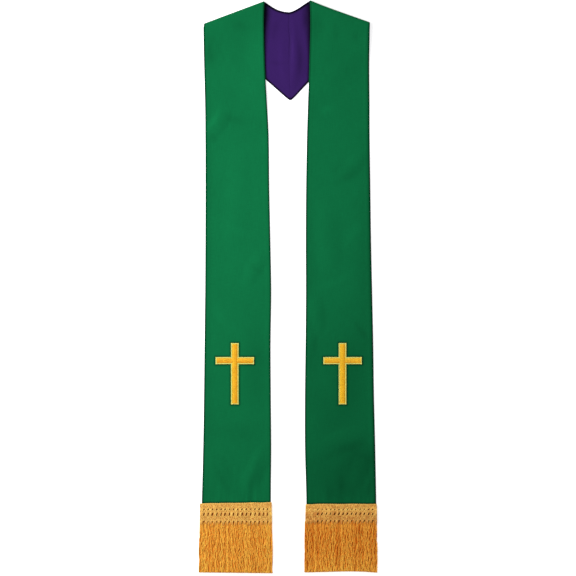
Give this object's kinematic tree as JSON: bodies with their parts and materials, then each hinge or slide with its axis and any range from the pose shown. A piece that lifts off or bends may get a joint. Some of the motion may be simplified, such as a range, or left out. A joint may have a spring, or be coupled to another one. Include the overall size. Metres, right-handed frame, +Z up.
{
  "type": "clerical stole",
  "caption": "Lined stole laid flat with both fronts folded over the pointed back neck, an embroidered cross on each front and a crocheted heading and fringe at each hem.",
  "frame": {"origin": "on the table, under the middle of the laid stole's outline", "axes": "+Y from the fringed hems to the neck, +X to the right seen from above, +Z up off the table"},
  "size_m": [0.3597, 1.1458, 0.0113],
  "materials": {
    "green_cloth": "matt plain weave",
    "purple_lining": "smooth plain weave with a low sheen",
    "gold_embroidery": "glossy satin stitch",
    "gold_heading": "crocheted rayon cord",
    "gold_fringe": "twisted rayon thread with a soft gloss"
  },
  "bodies": {
    "root": {"face_cloth_left": "green_cloth", "face_cloth_right": "green_cloth", "lining_left": "purple_lining", "lining_right": "purple_lining", "cross_left": "gold_embroidery", "cross_right": "gold_embroidery", "heading_left": "gold_heading", "heading_right": "gold_heading", "fringe_left": "gold_fringe", "fringe_right": "gold_fringe"}
  },
  "joints": []
}
